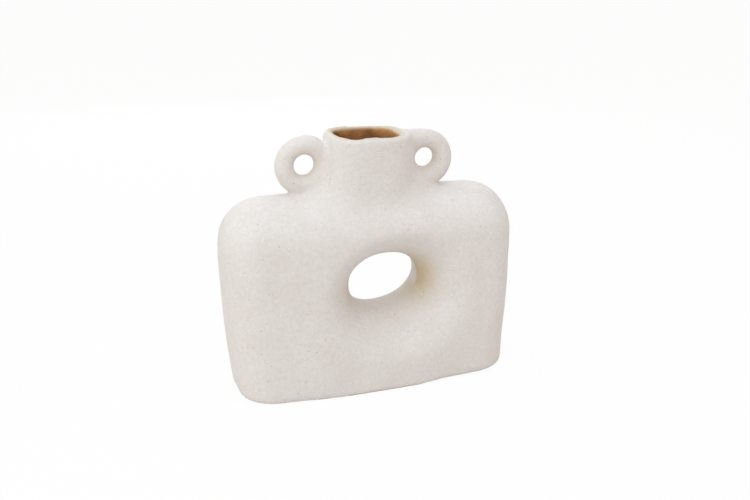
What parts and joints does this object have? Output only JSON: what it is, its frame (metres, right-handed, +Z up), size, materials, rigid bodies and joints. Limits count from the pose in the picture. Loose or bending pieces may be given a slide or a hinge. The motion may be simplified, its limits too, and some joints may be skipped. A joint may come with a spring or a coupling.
{
  "type": "donut vase",
  "caption": "Slab-bodied ceramic flower vase with an oval hole through its body, a short oval neck with an open mouth, and a finger ring on each side of the neck.",
  "frame": {"origin": "on the resting plane, under the middle of the vase's box", "axes": "+X along the wide body to the right ring, +Y from the front face to the back, +Z up through the mouth"},
  "size_m": [0.2428, 0.081, 0.2085],
  "materials": {
    "glaze": "matte sandy off-white with fine specks",
    "bare_clay": "unglazed tan clay"
  },
  "bodies": {
    "root": {"front_shell": "glaze", "back_shell": "glaze", "tunnel_sleeve": "glaze", "neck": "glaze", "left_ring_handle": "glaze", "right_ring_handle": "glaze", "base_slab": "bare_clay"}
  },
  "joints": []
}
